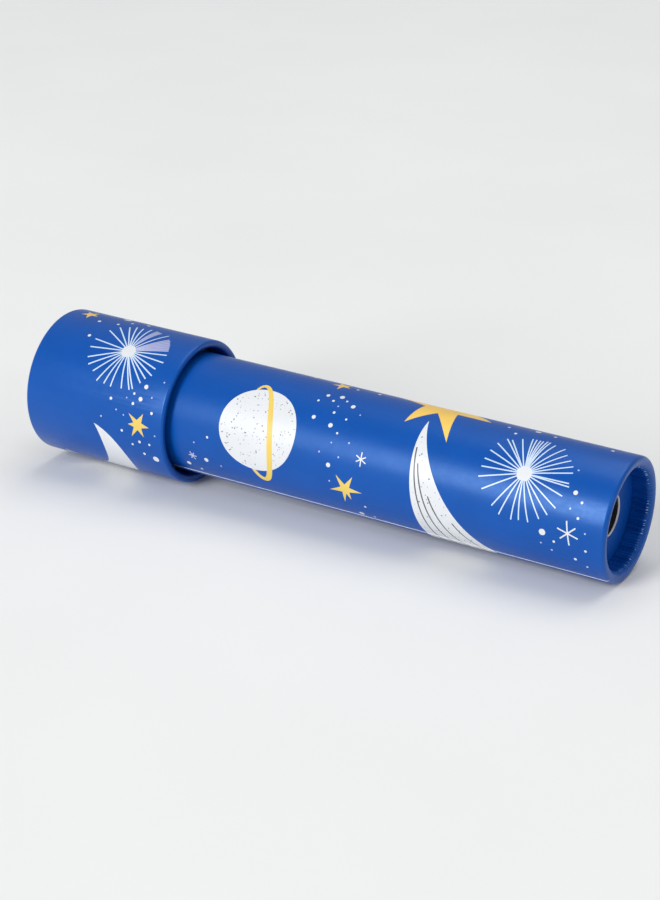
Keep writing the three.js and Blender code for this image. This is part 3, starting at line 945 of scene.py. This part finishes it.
def boards_and_windows():
    round_piece("main_tube", "tube", "greyboard", outer_ease=0.9)
    round_piece("tube_collar", "tube", "greyboard", ease=0.3)
    round_piece("eyepiece_ring", "tube", "greyboard", ease=0.5, outer_ease=0.7, cuts=(0.2, 1.6))
    round_piece("eyepiece_disc", "tube", "black_card")
    round_piece("eyepiece_window", "tube", "clear_plastic", ease=0)
    round_piece("rear_spacer_ring", "tube", "greyboard", ease=0.25)
    round_piece("front_stop_ring", "tube", "greyboard", ease=0.25)
    round_piece("front_window", "tube", "clear_plastic", ease=0)
    round_piece("cap_tube", "cap", "greyboard", ease=0.3, outer_ease=0.75, cuts=(0.2, 0.8))
    round_piece("end_ring", "cap", "greyboard", ease=0.3, cuts=(1.0, 0.2))
    round_piece("diffuser", "cap", "frosted_plastic", ease=0)
    round_piece("cell_ring", "cap", "white_board", ease=0.2)
    round_piece("cell_window", "cap", "clear_plastic", ease=0)
    round_piece("cell_stop_ring", "cap", "greyboard", ease=0.25)
    round_piece("cap_bush", "cap", "greyboard", ease=0.4)


def bevelled(obj, name, width):
    bevel = obj.modifiers.new(name, "BEVEL")
    bevel.width = width * MM
    bevel.segments = 2
    return bevel


def carried_over():
    """The CAD pieces whose shape is already right: they get eased edges and their stock's material."""
    # the mirrors' sleeve has both words in its name, so it comes before the mirrors
    looks = {"sleeve": ("black_card", 0.15), "mirror": ("mirror", 0.12), "packer": ("foam", 0.5)}
    for name, obj in frame["nodes"].items():
        part = next((part for part in looks if part in name), None)
        if part:
            slot, ease = looks[part]
            obj.data.materials.clear()
            obj.data.materials.append(MATERIALS[slot])
            bevelled(obj, "eased edges", ease).angle_limit = math.radians(35)


# ---------------------------------------------------------------- the loose pieces in the cell


def plate(outline, thick):
    """A flat plate across the axis, from an outline of (radius, clock) corners."""
    count = len(outline)
    points = [round_point(s * thick / 2, r, a) for s in (-1, 1) for r, a in outline]
    faces = [list(range(count))[::-1], list(range(count, 2 * count))]
    faces += [[i, (i + 1) % count, count + (i + 1) % count, count + i] for i in range(count)]
    return points, faces


def sideways(shape):
    """The same shape with its long way across the axis instead of along it."""
    points, faces = shape
    return [Vector((p.y, p.x, p.z)) for p in points], faces


def bead():
    """A ten-sided faceted bead with a hole."""
    rows = [(-1.45, 0.5), (-1.5, 0.85), (-0.75, 1.5), (0, 1.7), (0.75, 1.5), (1.5, 0.85), (1.45, 0.5)]
    return sideways(turned(rows, 10))


def crystal():
    """A double pyramid with its points cut off."""
    rows = [(-1.5, 0.28), (-0.12, 2.2), (0.12, 2.2), (1.5, 0.28)]
    sides = 4
    last = sides * (len(rows) - 1)
    points, faces = turned(rows, sides)
    faces = [f for f in faces if not (min(f) < sides and max(f) >= last)]
    return points, faces + [list(range(sides))[::-1], list(range(last, last + sides))]


def star_sequin():
    """A flat star with five points."""
    return plate([(1.15 if k % 2 else 2.4, k * math.pi / 5) for k in range(10)], 0.7)


def bugle():
    """A short tube with rounded ends."""
    rows = [(-2.2, 0.42), (-2.2, 0.95), (2.2, 0.95), (2.2, 0.42)]
    return sideways(turned(softened(rows, [0.1] * 4, 2), 14))


def chip():
    """A triangle with rounded corners."""
    corners = []
    for k in range(3):
        middle = round_point(0, 1.55, 2 * math.pi * k / 3)
        for side in (-50, -25, 0, 25, 50):
            corner = middle + round_point(0, 0.7, 2 * math.pi * k / 3 + math.radians(side))
            corners.append((math.hypot(corner.y, corner.z), math.atan2(-corner.y, corner.z)))
    return plate(corners, 0.8)


def hoop():
    """A round ring."""
    steps = [math.pi * k / 8 for k in range(16)]
    return turned([(0.55 * math.sin(a), 1.7 + 0.55 * math.cos(a)) for a in steps], 40)


def sequin():
    """A cupped six-sided spangle with a hole in its middle."""
    rows = [(-0.3, 0.4), (-0.3, 1.1), (0.1, 2.15), (0.3, 2.15), (-0.1, 1.1), (-0.1, 0.4)]
    return turned(rows, 6)


# Each shape's maker, and the width its edges are eased by
FILL_SHAPES = {
    "bead": (bead, 0.05), "crystal": (crystal, 0.1), "star": (star_sequin, 0.12), "bugle": (bugle, 0.03),
    "chip": (chip, 0.14), "hoop": (hoop, 0.0), "sequin": (sequin, 0.04),
}


def loose_pieces():
    """Detailed beads, chips and sequins, each where its CAD stand-in lies, turned by where it lies round the axis
    and by its place in the list.
    """
    to_tube = TO_ROW.inverted()
    slots = {row["node"]: row["material_slot"] for row in frame["record"]["subparts"]}
    for place, name in enumerate(frame["record"]["behaviour"]["bodies"]["loose_fill"]):
        low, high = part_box(name)
        middle = to_tube @ ((low + high) / 2)
        fan = math.atan2(middle.y, -middle.z)
        shape, ease = FILL_SHAPES[name.split("_")[0]]
        points, faces = shape()
        set_down = Matrix.Translation(middle) @ Matrix.Rotation(fan + place, 4, "X")
        slot = slots[name]
        piece = make(name, points, faces, "loose_fill", [MATERIALS[slot]], (name,), placed=set_down)
        if ease:
            bevelled(piece, "moulded edges", ease)


# ---------------------------------------------------------------- the build

camera()
studio()
floor()
ink_set = ink_materials()
stock_materials()
printed_papers()
eyepiece_facing()
front_mask()
boards_and_windows()
carried_over()
loose_pieces()
